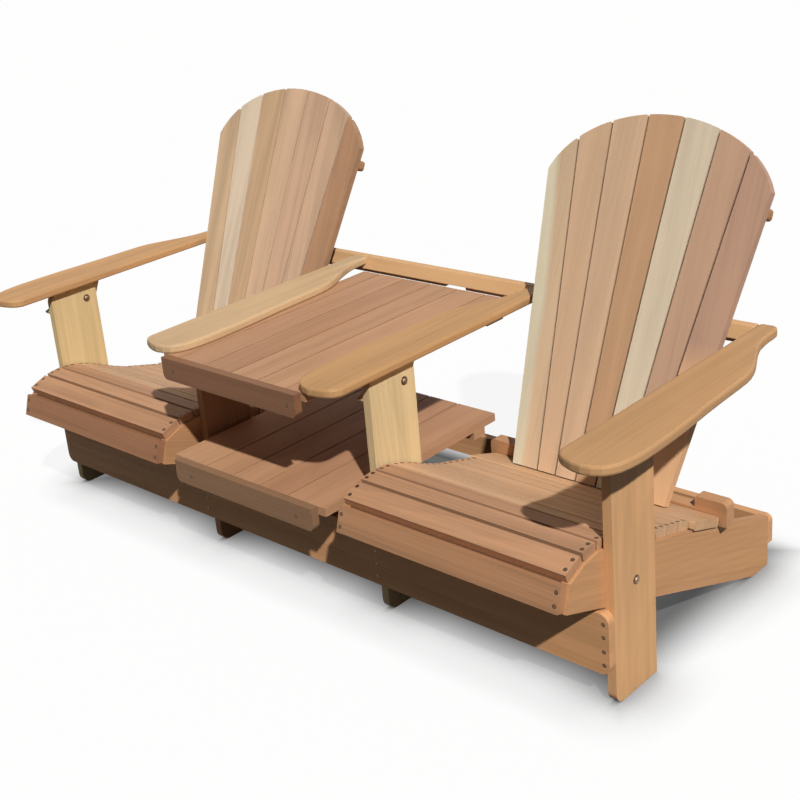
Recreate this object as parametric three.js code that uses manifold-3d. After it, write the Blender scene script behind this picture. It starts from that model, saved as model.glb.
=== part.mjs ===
// Cedar garden loveseat: two slatted fan-back chairs joined by a table and a lower shelf.
// Millimetres, +Z up. X runs along the seat, the front faces -Y, and the floor is Z = 0.
// While it is built, Y = 0 is the front face of the legs. At the end the whole model is
// moved so that its origin is the middle of its footprint on the floor.

import * as THREE from 'three';
import Module from 'manifold-3d';
import { mergeVertices } from 'three/addons/utils/BufferGeometryUtils.js';

const wasm = await Module();
wasm.setup();

// Stock and joints
const BOARD = 19.2;
const SLAT = 19;
const JOINT_GAP = 0.3;
const BED_DEPTH = 1;
const BED_INSET = 2;

// How finely arcs and rounded edges are split
const ARC_SEGMENTS = 4;
const EDGE_SEGMENTS = 2;

// Layout of the two chairs
const CHAIR_PITCH = 1130;
const SEAT_SLAT_LENGTH = 544;
const SLAT_END_INSET = 6.85;
const LEG_SPACING = SEAT_SLAT_LENGTH + 2 * SLAT_END_INSET;

// Legs and their arm brackets
const LEG_HEIGHT = 545;
const LEG_DEPTH = 140;
const LEG_ROUND = 25;
const BRACKET_HEIGHT = 58;
const BRACKET_REAR_REACH = 32;
const BRACKET_SLANT = 26;
const BRACKET_ROUND = 8;

// Stringers, seen from the side as distances from the leg fronts and heights
const CREST_HEIGHT = 331;
const SHOULDER_REACH = 55;
const SHOULDER_FALL = 4;
const SHOULDER_HEIGHT = CREST_HEIGHT - SHOULDER_FALL;
const NOSE_TOP_REACH = 105;
const NOSE_FALL = 23;
const NOSE_TOP = CREST_HEIGHT - NOSE_FALL;
const NOSE_REACH = 122;
const NOSE_FACE = 54;
const NOSE_BOTTOM = NOSE_TOP - NOSE_FACE;
const SEAT_END = 303;
const STRINGER_END = 625;
const STRINGER_END_HEIGHT = 118;
const STRINGER_RISE = 0.3457;
const STRINGER_PITCH = Math.atan(STRINGER_RISE);
const STRINGER_FLAT = 65;
const FLOOR_START = STRINGER_END - STRINGER_FLAT;
const BOTTOM_RISE = NOSE_BOTTOM / (FLOOR_START + NOSE_REACH);

// Foot and lean of the backs
const BACK_SETBACK = 47.3;
const BACK_FOOT_LIFT = 37;
const BACK_FOOT_Y = SEAT_END + BACK_SETBACK;
const BACK_FOOT_Z = stringerTop(BACK_FOOT_Y) + BACK_FOOT_LIFT;
const BACK_TILT = THREE.MathUtils.degToRad(25.6);

// Arms and the rail behind the backs that ties them
const ARM_THICKNESS = 20;
const ARM_OVERHANG = 18.85;
const ARM_INSET = LEG_SPACING / 2 - ARM_OVERHANG;
const ARM_WIDTH = 128;
const ARM_FRONT = -129;
const ARM_EDGE = 5;
const RAIL_THICKNESS = 20;
const RAIL_HEIGHT = 44;
const RAIL_ROOM = 67.7;
const RAIL_FRONT = backRear(LEG_HEIGHT + ARM_THICKNESS) + RAIL_ROOM;
const RAIL_ROUND = 12;
const ARM_TIP = 26;
const ARM_STEPS = 40;
const ARM_LENGTH = RAIL_FRONT + ARM_TIP - ARM_FRONT;

// Long boards across both chairs
const APRON_THICKNESS = 20;
const APRON_CLEARANCE = 3.5;
const APRON_TOP = BOTTOM_RISE * FLOOR_START - APRON_CLEARANCE;
const APRON_HEIGHT = 130;
const APRON_ROUND = 20;
const STRETCHER_THICKNESS = 20;
const STRETCHER_DROP = 4;
const STRETCHER_HEIGHT = 64;
const STRETCHER_ROUND = 14;

// Seat slats
const SEAT_SLAT_GAP = 3.4;
const SCOOP_SLATS = 9;
const FUSED_SLATS = 5;

// Where the scoop passes, as shares of its run and of its fall from the crest to the seat's end
const SCOOP_SHARES = [
  [0, 0],
  [0.19, 0.13],
  [0.37, 0.37],
  [0.57, 0.635],
  [0.78, 0.81],
  [1, 1],
];

// Backs
const BACK_SLATS = 7;
const BACK_SLAT_GAP = 4.6;
const FAN_TOP = 793;
const FAN_RISE = 196;
const FAN_REFERENCE = 660;
const BACK_SIDE_ROOM = 84.85;
const FOOT_EDGE = LEG_SPACING / 2 - BACK_SIDE_ROOM;
const FAN_SPREAD = 77;
const HEAD_EDGE = FOOT_EDGE + FAN_SPREAD;
const FAN_SHOULDER = 11;
const FAN_WIDTH = HEAD_EDGE + FAN_SHOULDER;
const BACK_ROUND = 3;
const FAN_STEPS = 6;
const FAN_MEETING_STEPS = 40;

// Where the gaps of a back lie, as shares of its half-width at the foot and at the head
const FOOT_GAP_SHARES = [0.134, 0.407, 0.657, 1];
const HEAD_GAP_SHARES = [0.151, 0.452, 0.738, 1];

// Rails behind the backs
const BRACE_HEIGHT = 26;
const BRACE_AT = 611;
const BRACE_INSET = 5;
const BRACE_LENGTH = 2 * (HEAD_EDGE - BRACE_INSET);
const BRACE_ROUND = 8;
const FOOT_BOARD_DEPTH = 100;
const FOOT_BOARD_THICKNESS = 20;
const FOOT_BOARD_ROUND = 6;
const FOOT_BOARD_REACH = 6;
const FOOT_BOARD_LENGTH = LEG_SPACING + 2 * FOOT_BOARD_REACH;
const FOOT_RAIL_THICKNESS = 30;
const FOOT_RAIL_REACH = 22;
const FOOT_RAIL_LENGTH = LEG_SPACING + 2 * FOOT_RAIL_REACH;
const FOOT_RAIL_HEIGHT = 54;
const FOOT_RAIL_ROUND = 12;
const FOOT_EAR_WIDTH = 72;
const FOOT_EAR_RISE = 26;
const FOOT_EAR_ROUND = 5;

// Outline of an arm: shares of its width away from the seat, and of its length from the front
const ARM_SHARES = [
  [0, 0.05],
  [0.06, 0.028],
  [0.2, 0.012],
  [0.5, 0],
  [0.78, 0.018],
  [0.93, 0.06],
  [0.99, 0.12],
  [1, 0.19],
  [0.98, 0.31],
  [0.925, 0.44],
  [0.89, 0.56],
  [0.865, 0.65],
  [0.8, 0.705],
  [0.68, 0.755],
  [0.52, 0.815],
  [0.41, 0.87],
  [0.36, 0.93],
  [0.345, 0.98],
  [0.24, 1],
  [0.05, 1],
  [0, 0.985],
];

// Table between the inner arms
const INNER_LEG_FACE = CHAIR_PITCH / 2 - LEG_SPACING / 2 - BOARD;
const INNER_ARM_EDGE = CHAIR_PITCH / 2 - ARM_INSET - ARM_WIDTH;
const TABLE_NOSE = 11;
const TABLE_FRONT = ARM_FRONT - TABLE_NOSE;
const TABLE_REAR_GAP = 53;
const TABLE_REAR = RAIL_FRONT - TABLE_REAR_GAP;
const TABLE_TUCK = 48;
const TABLE_HALF_WIDTH = INNER_ARM_EDGE + TABLE_TUCK;
const TABLE_BOARD_GAP = 4;
const TABLE_APRON_TUCK = 35;
const TABLE_APRON_LENGTH = 2 * (INNER_ARM_EDGE + TABLE_APRON_TUCK);
const TABLE_APRON_HEIGHT = 52;
const TABLE_APRON_ROUND = 14;
const TABLE_CLEAT_DEPTH = 60;
const TABLE_CLEAT_ROOM = 7.75;
const TABLE_CLEAT_HALF_LENGTH = INNER_LEG_FACE - BOARD - TABLE_CLEAT_ROOM;

// Where the table's boards meet, as shares of its half-width
const TABLE_EDGE_SHARES = [-1, -0.7556, -0.3778, 0, 0.3778, 0.7556, 1];

// Shelf between the inner legs
const SHELF_DROP = 41;
const SHELF_TOP = CREST_HEIGHT - SHELF_DROP;
const SHELF_NOSE_INSET = 2;
const SHELF_FRONT = TABLE_FRONT + SHELF_NOSE_INSET;
const SHELF_REAR_INSET = 87;
const SHELF_REAR = TABLE_REAR - SHELF_REAR_INSET;
const SHELF_SIDE_ROOM = 22.95;
const SHELF_HALF_WIDTH = INNER_LEG_FACE - SHELF_SIDE_ROOM;
const SHELF_BOARD_GAP = 4;
const SHELF_APRON_INSET = 22;
const SHELF_APRON_LENGTH = 2 * (SHELF_HALF_WIDTH - SHELF_APRON_INSET);
const SHELF_APRON_HEIGHT = 53;
const SHELF_APRON_ROUND = 14;
const CLEAT_HEIGHT = 40;
const SHELF_CLEAT_INSET = 20;
const SHELF_BATTEN_INSET = 40;

// Where the shelf's boards meet, as shares of its half-width
const SHELF_EDGE_SHARES = [-1, -0.541, -0.18, 0.18, 0.541, 1];

const CEDAR = {
  leg: 0xcfa877,
  stringer: 0xc79a68,
  arm: 0xd6af7c,
  apron: 0xa87c53,
  seat: 0xc69670,
  nose: 0xb58562,
  table: 0xb8866a,
  shelf: 0xbf8f68,
  backs: [0xe3cfa6, 0xc79372, 0xc98f6a, 0xcd9560, 0xdcc69c, 0xbd8d72, 0xc2937a],
};

const model = new THREE.Group();

function cedar(color) {
  return new THREE.MeshStandardMaterial({ color, roughness: 0.72, metalness: 0 });
}

function addPiece(group, name, geometry, color) {
  const mesh = new THREE.Mesh(geometry, cedar(color));
  mesh.name = name;
  group.add(mesh);
  return mesh;
}

// Outlines

// A closed outline through [x, y, radius] corners, each turned with a true arc.
function outline(corners) {
  const shape = new THREE.Shape();
  const count = corners.length;
  corners.forEach(([x, y, radius = 0], i) => {
    const corner = new THREE.Vector2(x, y);
    const last = corners[(i + count - 1) % count];
    const next = corners[(i + 1) % count];
    const back = new THREE.Vector2(last[0] - x, last[1] - y).normalize();
    const ahead = new THREE.Vector2(next[0] - x, next[1] - y).normalize();
    if (radius === 0) {
      if (i === 0) shape.moveTo(x, y);
      else shape.lineTo(x, y);
      return;
    }
    const half = Math.acos(back.dot(ahead)) / 2;
    const reach = radius / Math.tan(half);
    const centre = back.clone().add(ahead).normalize().multiplyScalar(radius / Math.sin(half)).add(corner);
    const from = back.clone().multiplyScalar(reach).add(corner).sub(centre);
    const to = ahead.clone().multiplyScalar(reach).add(corner).sub(centre);
    shape.absarc(centre.x, centre.y, radius, from.angle(), to.angle(), back.cross(ahead) > 0);
  });
  return shape;
}

function rectangle(x0, y0, x1, y1, radii = [0, 0, 0, 0]) {
  return outline([
    [x0, y0, radii[0]],
    [x1, y0, radii[1]],
    [x1, y1, radii[2]],
    [x0, y1, radii[3]],
  ]);
}

// Solids

const PLANES = {
  // Outline in Y and Z, thickness along X
  side: new THREE.Matrix4().makeBasis(
    new THREE.Vector3(0, 1, 0),
    new THREE.Vector3(0, 0, 1),
    new THREE.Vector3(1, 0, 0),
  ),
  // Outline in X and Z, thickness along Y
  front: new THREE.Matrix4().makeBasis(
    new THREE.Vector3(1, 0, 0),
    new THREE.Vector3(0, 0, 1),
    new THREE.Vector3(0, -1, 0),
  ),
  // Outline in X and Y, thickness along Z
  top: new THREE.Matrix4(),
};

// A board of the given outline whose lowest face along its thickness lies at start.
function board(plane, shape, thickness, start, edge = 0) {
  const geometry = new THREE.ExtrudeGeometry(shape, {
    depth: thickness - 2 * edge,
    curveSegments: ARC_SEGMENTS,
    bevelEnabled: edge > 0,
    bevelThickness: edge,
    bevelSize: edge,
    bevelOffset: -edge,
    bevelSegments: EDGE_SEGMENTS,
  });
  const low = plane === 'front' ? start + thickness : start;
  const towards = plane === 'front' ? -1 : 1;
  geometry.translate(0, 0, (low * towards) + edge);
  geometry.applyMatrix4(PLANES[plane]);
  return geometry;
}

function box(x0, x1, y0, y1, z0, z1) {
  return board('top', rectangle(x0, y0, x1, y1), z1 - z0, z0);
}

function solidOf(geometry) {
  const bare = geometry.clone();
  bare.deleteAttribute('normal');
  bare.deleteAttribute('uv');
  const merged = mergeVertices(bare);
  const vertProperties = Float32Array.from(merged.attributes.position.array);
  const triVerts = Uint32Array.from(merged.index.array);
  return new wasm.Manifold(new wasm.Mesh({ numProp: 3, vertProperties, triVerts }));
}

// Joins pieces of one sub-part into a single closed solid.
function fuse(geometries) {
  const solid = geometries.map(solidOf).reduce((sum, next) => sum.add(next));
  const mesh = solid.getMesh();
  const geometry = new THREE.BufferGeometry();
  geometry.setAttribute('position', new THREE.BufferAttribute(mesh.vertProperties, mesh.numProp));
  geometry.setIndex(new THREE.BufferAttribute(mesh.triVerts, 1));
  geometry.computeVertexNormals();
  return geometry;
}

// Height of the straight rear part of a stringer's top edge.
function stringerTop(y) {
  return STRINGER_END_HEIGHT + STRINGER_RISE * (STRINGER_END - y);
}

// How far behind the leg fronts the rear of a back lies at height z.
function backRear(z) {
  return BACK_FOOT_Y + (z - BACK_FOOT_Z) * Math.tan(BACK_TILT) + SLAT / Math.cos(BACK_TILT);
}

// The line that the seat slats lie on, from under the nose to the foot of the back.
function seatLine() {
  const fall = CREST_HEIGHT - stringerTop(SEAT_END);
  const scoop = SCOOP_SHARES.map(
    ([run, drop]) => new THREE.Vector2(run * SEAT_END, CREST_HEIGHT - drop * fall),
  );
  const shoulder = new THREE.Vector2(-SHOULDER_REACH, SHOULDER_HEIGHT);
  const curve = new THREE.SplineCurve([shoulder, ...scoop]);
  return [
    new THREE.Vector2(-NOSE_REACH, NOSE_BOTTOM),
    new THREE.Vector2(-NOSE_TOP_REACH, NOSE_TOP),
    ...curve.getSpacedPoints(SCOOP_SLATS),
  ];
}

const seat = seatLine();

// A slat on one stretch of the seat line. A bed closes its joint gap over a stringer that it is one with.
function seatSlat(index, bedFrom = 0, bedTo = 0) {
  const start = seat[index];
  const end = seat[index + 1];
  const run = end.clone().sub(start);
  const width = run.length() - SEAT_SLAT_GAP;
  const half = SEAT_SLAT_LENGTH / 2;
  const from = SEAT_SLAT_GAP / 2;
  const to = from + width;
  const slat = box(-half, half, from, to, JOINT_GAP, JOINT_GAP + SLAT);
  const pieces = [slat];
  if (bedTo > bedFrom) {
    const bed = box(
      bedFrom + BED_INSET, bedTo - BED_INSET, from + BED_INSET, to - BED_INSET, -BED_DEPTH, SLAT / 2,
    );
    pieces.push(bed);
  }
  pieces.forEach((piece) => piece.rotateX(run.angle()));
  pieces.forEach((piece) => piece.translate(0, start.x, start.y));
  return pieces;
}

function stringerSolid(innerFace) {
  const corners = seat.map((point) => [point.x, point.y]);
  corners.push([STRINGER_END, STRINGER_END_HEIGHT]);
  corners.push([STRINGER_END, 0]);
  corners.push([FLOOR_START, 0]);
  return board('side', outline(corners), BOARD, innerFace);
}

// Legs

function legSolid(side) {
  const face = LEG_SPACING / 2;
  const shape = rectangle(0, 0, LEG_DEPTH, LEG_HEIGHT, [LEG_ROUND, 0, LEG_ROUND, LEG_ROUND]);
  const leg = board('side', shape, BOARD, side > 0 ? face : -face - BOARD);
  const bottom = LEG_HEIGHT - BRACKET_HEIGHT;
  const bracket = outline([
    [0, LEG_HEIGHT],
    [0, bottom, BRACKET_ROUND],
    [LEG_DEPTH + BRACKET_REAR_REACH - BRACKET_SLANT, bottom, BRACKET_ROUND],
    [LEG_DEPTH + BRACKET_REAR_REACH, LEG_HEIGHT],
  ]);
  const outside = face + BOARD;
  const block = board('side', bracket, BOARD, side > 0 ? outside : -outside - BOARD);
  return fuse([leg, block]);
}

// Arms

function armSolid(side, rearLimit) {
  const curve = new THREE.SplineCurve(ARM_SHARES.map(([across, along]) => new THREE.Vector2(across, along)));
  const points = curve.getPoints(ARM_STEPS).map((share) => new THREE.Vector2(
    side * (ARM_INSET + share.x * ARM_WIDTH),
    Math.min(ARM_FRONT + share.y * ARM_LENGTH, rearLimit),
  ));
  // Where the arm is cut square, only the two corners of the cut stay
  const atLimit = (point) => point === undefined || point.y === rearLimit;
  const corners = points.filter(
    (point, i) => !atLimit(point) || !atLimit(points[i - 1]) || !atLimit(points[i + 1]) || i === points.length - 1,
  );
  return board('top', new THREE.Shape(corners), ARM_THICKNESS, LEG_HEIGHT, ARM_EDGE);
}

// Backs

function edgeAt(gap, v) {
  const side = Math.sign(gap);
  const index = Math.abs(gap) - 1;
  const foot = FOOT_EDGE * FOOT_GAP_SHARES[index];
  const head = HEAD_EDGE * HEAD_GAP_SHARES[index];
  return side * (foot + (head - foot) * v / FAN_REFERENCE);
}

function fanTop(x) {
  const share = Math.min(Math.abs(x) / FAN_WIDTH, 1);
  return FAN_TOP - FAN_RISE * (1 - Math.sqrt(1 - share * share));
}

// Height at which an edge of a slat meets the round top, found by stepping up to it.
function meetFan(gap, inset) {
  let v = FAN_REFERENCE;
  for (let step = 0; step < FAN_MEETING_STEPS; step += 1) {
    v = (v + fanTop(edgeAt(gap, v) + inset)) / 2;
  }
  return v;
}

// How far up the lean of the back its lower ends stop, just clear of the foot board.
function backBottom() {
  const sin = Math.sin(BACK_TILT);
  const cos = Math.cos(BACK_TILT);
  const boardTop = stringerTop(BACK_FOOT_Y + SLAT * cos) + FOOT_BOARD_THICKNESS / Math.cos(STRINGER_PITCH);
  const rise = boardTop + SLAT * sin - BACK_FOOT_Z;
  return (rise + 2 * JOINT_GAP) / (cos + STRINGER_RISE * sin);
}

function backSlatSolid(leftGap, rightGap) {
  const bottom = backBottom();
  const half = BACK_SLAT_GAP / 2;
  const leftInset = Math.abs(leftGap) === FOOT_GAP_SHARES.length ? 0 : half;
  const rightInset = Math.abs(rightGap) === FOOT_GAP_SHARES.length ? 0 : -half;
  const leftTop = meetFan(leftGap, leftInset);
  const rightTop = meetFan(rightGap, rightInset);
  const x0 = edgeAt(leftGap, leftTop) + leftInset;
  const x1 = edgeAt(rightGap, rightTop) + rightInset;
  const corners = [
    [edgeAt(leftGap, bottom) + leftInset, bottom],
    [edgeAt(rightGap, bottom) + rightInset, bottom],
    [x1, rightTop, BACK_ROUND],
  ];
  for (let step = 1; step < FAN_STEPS; step += 1) {
    const x = x1 + (x0 - x1) * step / FAN_STEPS;
    corners.push([x, fanTop(x)]);
  }
  corners.push([x0, leftTop, BACK_ROUND]);
  return board('front', outline(corners), SLAT, 0);
}

// Gaps of a back from left to right, numbered outwards from the middle on each side.
function backGaps() {
  const outward = FOOT_GAP_SHARES.map((share, i) => i + 1);
  return [...outward.map((i) => -i).reverse(), ...outward];
}

function buildBack(chairName) {
  const back = new THREE.Group();
  back.position.set(0, BACK_FOOT_Y, BACK_FOOT_Z);
  back.rotation.x = -BACK_TILT;
  const gaps = backGaps();
  for (let i = 0; i < BACK_SLATS; i += 1) {
    const name = `${chairName}_back_slat_${i + 1}`;
    addPiece(back, name, backSlatSolid(gaps[i], gaps[i + 1]), CEDAR.backs[i]);
  }
  const behind = SLAT + JOINT_GAP;
  const brace = rectangle(
    -BRACE_LENGTH / 2, BRACE_AT - BRACE_HEIGHT / 2, BRACE_LENGTH / 2, BRACE_AT + BRACE_HEIGHT / 2,
    [BRACE_ROUND, BRACE_ROUND, BRACE_ROUND, BRACE_ROUND],
  );
  addPiece(back, `${chairName}_upper_brace`, board('front', brace, BOARD, behind), CEDAR.arm);
  return back;
}

// The board that a back stands on, and the rail on edge behind it with a raised ear at each end
function buildFoot(chairName, chair) {
  const shape = rectangle(
    JOINT_GAP, JOINT_GAP, FOOT_BOARD_DEPTH, JOINT_GAP + FOOT_BOARD_THICKNESS,
    [FOOT_BOARD_ROUND, 0, 0, FOOT_BOARD_ROUND],
  );
  const footBoard = board('side', shape, FOOT_BOARD_LENGTH, -FOOT_BOARD_LENGTH / 2);
  footBoard.rotateX(-STRINGER_PITCH);
  footBoard.translate(0, SEAT_END, stringerTop(SEAT_END));
  addPiece(chair, `${chairName}_foot_board`, footBoard, CEDAR.seat);

  const boardRear = FOOT_BOARD_DEPTH * Math.cos(STRINGER_PITCH);
  const lean = (FOOT_BOARD_THICKNESS + JOINT_GAP) * Math.sin(STRINGER_PITCH);
  const railFront = SEAT_END + boardRear + lean + JOINT_GAP;
  const bottom = stringerTop(railFront) + JOINT_GAP;
  const top = bottom + FOOT_RAIL_HEIGHT;
  const end = FOOT_RAIL_LENGTH / 2;
  const ear = end - FOOT_EAR_WIDTH;
  const low = top - FOOT_EAR_RISE;
  const rail = outline([
    [-end, bottom],
    [end, bottom],
    [end, top, FOOT_RAIL_ROUND],
    [ear, top, FOOT_EAR_ROUND],
    [ear, low, FOOT_EAR_ROUND],
    [-ear, low, FOOT_EAR_ROUND],
    [-ear, top, FOOT_EAR_ROUND],
    [-end, top, FOOT_RAIL_ROUND],
  ]);
  const railSolid = board('front', rail, FOOT_RAIL_THICKNESS, railFront);
  addPiece(chair, `${chairName}_foot_rail`, railSolid, CEDAR.stringer);
}

// Chairs

function buildChair(chairName, outerSide) {
  const chair = new THREE.Group();
  chair.position.x = outerSide * CHAIR_PITCH / 2;
  const face = LEG_SPACING / 2;
  for (const side of [outerSide, -outerSide]) {
    const place = side === outerSide ? 'outer' : 'inner';
    const rearLimit = place === 'outer' ? ARM_FRONT + ARM_LENGTH : RAIL_FRONT - JOINT_GAP;
    const innerFace = side > 0 ? face - BOARD : -face;
    const pieces = [stringerSolid(innerFace)];
    if (place === 'inner') {
      const firstFused = seat.length - 1 - FUSED_SLATS;
      for (let i = firstFused; i < seat.length - 1; i += 1) {
        pieces.push(...seatSlat(i, innerFace, innerFace + BOARD));
      }
    }
    addPiece(chair, `${chairName}_${place}_leg`, legSolid(side), CEDAR.leg);
    addPiece(chair, `${chairName}_${place}_arm`, armSolid(side, rearLimit), CEDAR.arm);
    const stringer = pieces.length > 1 ? fuse(pieces) : pieces[0];
    addPiece(chair, `${chairName}_${place}_stringer`, stringer, CEDAR.stringer);
  }
  for (let i = 0; i < seat.length - 1 - FUSED_SLATS; i += 1) {
    const color = i === 0 ? CEDAR.nose : CEDAR.seat;
    addPiece(chair, `${chairName}_seat_slat_${i + 1}`, seatSlat(i)[0], color);
  }
  buildFoot(chairName, chair);
  chair.add(buildBack(chairName));
  return chair;
}

// Long boards

const OUTER_FACE = CHAIR_PITCH / 2 + LEG_SPACING / 2 + BOARD;
const STRINGER_FACE = CHAIR_PITCH / 2 + LEG_SPACING / 2;
const ARM_EDGE_FACE = CHAIR_PITCH / 2 + ARM_INSET;

function buildLongBoards() {
  const r = APRON_ROUND;
  const apron = rectangle(-OUTER_FACE, APRON_TOP - APRON_HEIGHT, OUTER_FACE, APRON_TOP, [r, r, r, r]);
  const apronSolid = board('front', apron, APRON_THICKNESS, -APRON_THICKNESS);
  addPiece(model, 'front_apron', apronSolid, CEDAR.apron);

  const stretcherTop = STRINGER_END_HEIGHT - STRETCHER_DROP;
  const stretcher = rectangle(
    -STRINGER_FACE, stretcherTop - STRETCHER_HEIGHT, STRINGER_FACE, stretcherTop,
    [0, 0, STRETCHER_ROUND, STRETCHER_ROUND],
  );
  const stretcherSolid = board('front', stretcher, STRETCHER_THICKNESS, STRINGER_END);
  addPiece(model, 'rear_stretcher', stretcherSolid, CEDAR.stringer);

  const railEnd = ARM_EDGE_FACE - JOINT_GAP;
  const railTop = LEG_HEIGHT + ARM_THICKNESS;
  const rail = rectangle(-railEnd, railTop - RAIL_HEIGHT, railEnd, railTop, [0, 0, RAIL_ROUND, RAIL_ROUND]);
  addPiece(model, 'arm_rail', board('front', rail, RAIL_THICKNESS, RAIL_FRONT), CEDAR.arm);
}

// Table and shelf

// Boards side by side from front to rear, split at the given places across.
function deckBoards(edges, gap, front, rear, top) {
  return edges.slice(1).map((edge, i) => {
    const x0 = edges[i] + (i === 0 ? 0 : gap / 2);
    const x1 = edge - (i === edges.length - 2 ? 0 : gap / 2);
    return box(x0, x1, front, rear, top - SLAT, top);
  });
}

function deckApron(length, height, round, front, top) {
  const shape = rectangle(-length / 2, top - height, length / 2, top, [round, round, 0, 0]);
  return board('front', shape, BOARD, front);
}

function buildTable() {
  const edges = TABLE_EDGE_SHARES.map((share) => share * TABLE_HALF_WIDTH);
  const boardsFront = TABLE_FRONT + BOARD + JOINT_GAP;
  const boards = deckBoards(edges, TABLE_BOARD_GAP, boardsFront, TABLE_REAR, LEG_HEIGHT);
  const under = LEG_HEIGHT - SLAT;
  const half = TABLE_CLEAT_HALF_LENGTH;
  const cleatRear = TABLE_REAR - TABLE_CLEAT_DEPTH / 2;
  const rearCleat = box(-half, half, cleatRear - TABLE_CLEAT_DEPTH, cleatRear, under - BOARD, under);
  const middleCleat = box(-half, half, LEG_DEPTH / 2, LEG_DEPTH / 2 + TABLE_CLEAT_DEPTH, under - BOARD, under);
  boards[2] = fuse([boards[2], rearCleat, middleCleat]);
  boards.forEach((geometry, i) => addPiece(model, `table_board_${i + 1}`, geometry, CEDAR.table));
  const apron = deckApron(TABLE_APRON_LENGTH, TABLE_APRON_HEIGHT, TABLE_APRON_ROUND, TABLE_FRONT, LEG_HEIGHT);
  addPiece(model, 'table_apron', apron, CEDAR.nose);
}

function buildShelf() {
  const edges = SHELF_EDGE_SHARES.map((share) => share * SHELF_HALF_WIDTH);
  const boardsFront = SHELF_FRONT + BOARD + JOINT_GAP;
  const boards = deckBoards(edges, SHELF_BOARD_GAP, boardsFront, SHELF_REAR, SHELF_TOP);
  const under = SHELF_TOP - SLAT;
  const bottom = under - CLEAT_HEIGHT;
  const stringerFace = INNER_LEG_FACE + BOARD;
  const legCleatFront = SHELF_CLEAT_INSET;
  const legCleat = box(
    -INNER_LEG_FACE, INNER_LEG_FACE, legCleatFront, legCleatFront + BOARD, bottom, under,
  );
  const seatCleat = box(-stringerFace, stringerFace, LEG_DEPTH, LEG_DEPTH + BOARD, bottom, under);
  const battenRear = SHELF_REAR - SHELF_BATTEN_INSET;
  const batten = box(
    -SHELF_HALF_WIDTH, SHELF_HALF_WIDTH, battenRear - CLEAT_HEIGHT, battenRear, under - BOARD, under,
  );
  boards[2] = fuse([boards[2], legCleat, seatCleat, batten]);
  boards.forEach((geometry, i) => addPiece(model, `shelf_board_${i + 1}`, geometry, CEDAR.shelf));
  const apron = deckApron(SHELF_APRON_LENGTH, SHELF_APRON_HEIGHT, SHELF_APRON_ROUND, SHELF_FRONT, SHELF_TOP);
  addPiece(model, 'shelf_apron', apron, CEDAR.nose);
}

model.add(buildChair('left', -1));
model.add(buildChair('right', 1));
buildLongBoards();
buildTable();
buildShelf();

// The origin is the middle of the footprint, on the floor
model.updateMatrixWorld(true);
const bounds = new THREE.Box3().setFromObject(model, true);
const middle = bounds.getCenter(new THREE.Vector3());
model.position.set(-middle.x, -middle.y, -bounds.min.z);

export default model;
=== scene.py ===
"""Cedar loveseat with a table between two fan-back chairs: looks, light and camera. Metres, +Z up."""
import math

import bmesh
import bpy
from mathutils import Matrix, Vector


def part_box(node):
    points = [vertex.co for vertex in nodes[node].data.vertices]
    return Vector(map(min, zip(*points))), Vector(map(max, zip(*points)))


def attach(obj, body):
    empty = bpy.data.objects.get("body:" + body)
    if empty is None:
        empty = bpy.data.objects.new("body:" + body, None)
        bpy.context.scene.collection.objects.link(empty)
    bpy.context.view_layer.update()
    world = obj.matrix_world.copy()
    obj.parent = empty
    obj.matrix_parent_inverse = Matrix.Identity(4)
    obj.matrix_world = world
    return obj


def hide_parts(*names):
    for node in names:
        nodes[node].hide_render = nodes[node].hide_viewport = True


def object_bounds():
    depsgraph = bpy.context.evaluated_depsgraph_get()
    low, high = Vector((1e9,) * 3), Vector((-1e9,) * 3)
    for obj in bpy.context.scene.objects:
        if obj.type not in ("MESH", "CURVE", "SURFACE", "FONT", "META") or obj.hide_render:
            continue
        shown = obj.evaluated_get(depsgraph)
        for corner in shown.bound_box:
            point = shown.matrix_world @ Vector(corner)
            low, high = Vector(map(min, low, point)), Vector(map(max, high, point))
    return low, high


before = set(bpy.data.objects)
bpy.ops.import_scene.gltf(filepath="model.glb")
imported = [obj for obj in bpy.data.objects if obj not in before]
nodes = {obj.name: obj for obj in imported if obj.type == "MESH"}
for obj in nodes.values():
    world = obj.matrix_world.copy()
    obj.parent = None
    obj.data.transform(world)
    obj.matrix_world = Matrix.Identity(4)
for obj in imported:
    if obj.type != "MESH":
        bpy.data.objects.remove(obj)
cad_low, cad_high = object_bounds()

# The photograph's frame and its camera: lengths of the picture in its pixels, angles in radians
IMAGE = 800
FOCAL = 1337.62
CENTRE_X = 348
CENTRE_Y = 346
CAMERA_PLACE = Vector((2.06851, -2.07222, 1.56086))
YAW = 0.79723
PITCH = 0.35606
ROLL = -0.10135
SENSOR = 36.0

# Light: the sun's place and width in degrees, and the sky's strength overhead and at the horizon
SUN_TURN = 57
SUN_HEIGHT = 44.6
SUN_STRENGTH = 3.76
SUN_SPREAD = 1.5
SUN_COLOUR = (1.0, 0.985, 0.955)
SKY_COLOUR = (0.97, 0.98, 1.0, 1)
WHITE = (1, 1, 1, 1)
SKY_HIGH = 0.2
SKY_LOW = 0.0

# Floor: light that it throws back, its own colour, how much of plain white it shows, and the reach of its shade
FLOOR_BOUNCE = 0.03
FLOOR_PALE = 0.9
FLOOR_GLOW = 0.91
FLOOR_CONTACT = 0.14
FLOOR_HALF = 30
FLOOR_DROP = 0.0005

# The floor's contact shade: its least light, and the distances from the middle over which it clears
SHADE_LEAST = 0.1
SHADE_SIDE = (0.77, 0.915)
SHADE_FRONT = (0.175, 0.345)
SHADE_BACK = (0.36, 0.46)

# The rail behind the table: height and lean of its face, how far its parts lap, and its slot in X
RAIL_FACE = 0.0305
RAIL_LEAN = 0.014
RAIL_LAP = 0.002
RAIL_SLOT = (-0.003, 0.060)

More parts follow.
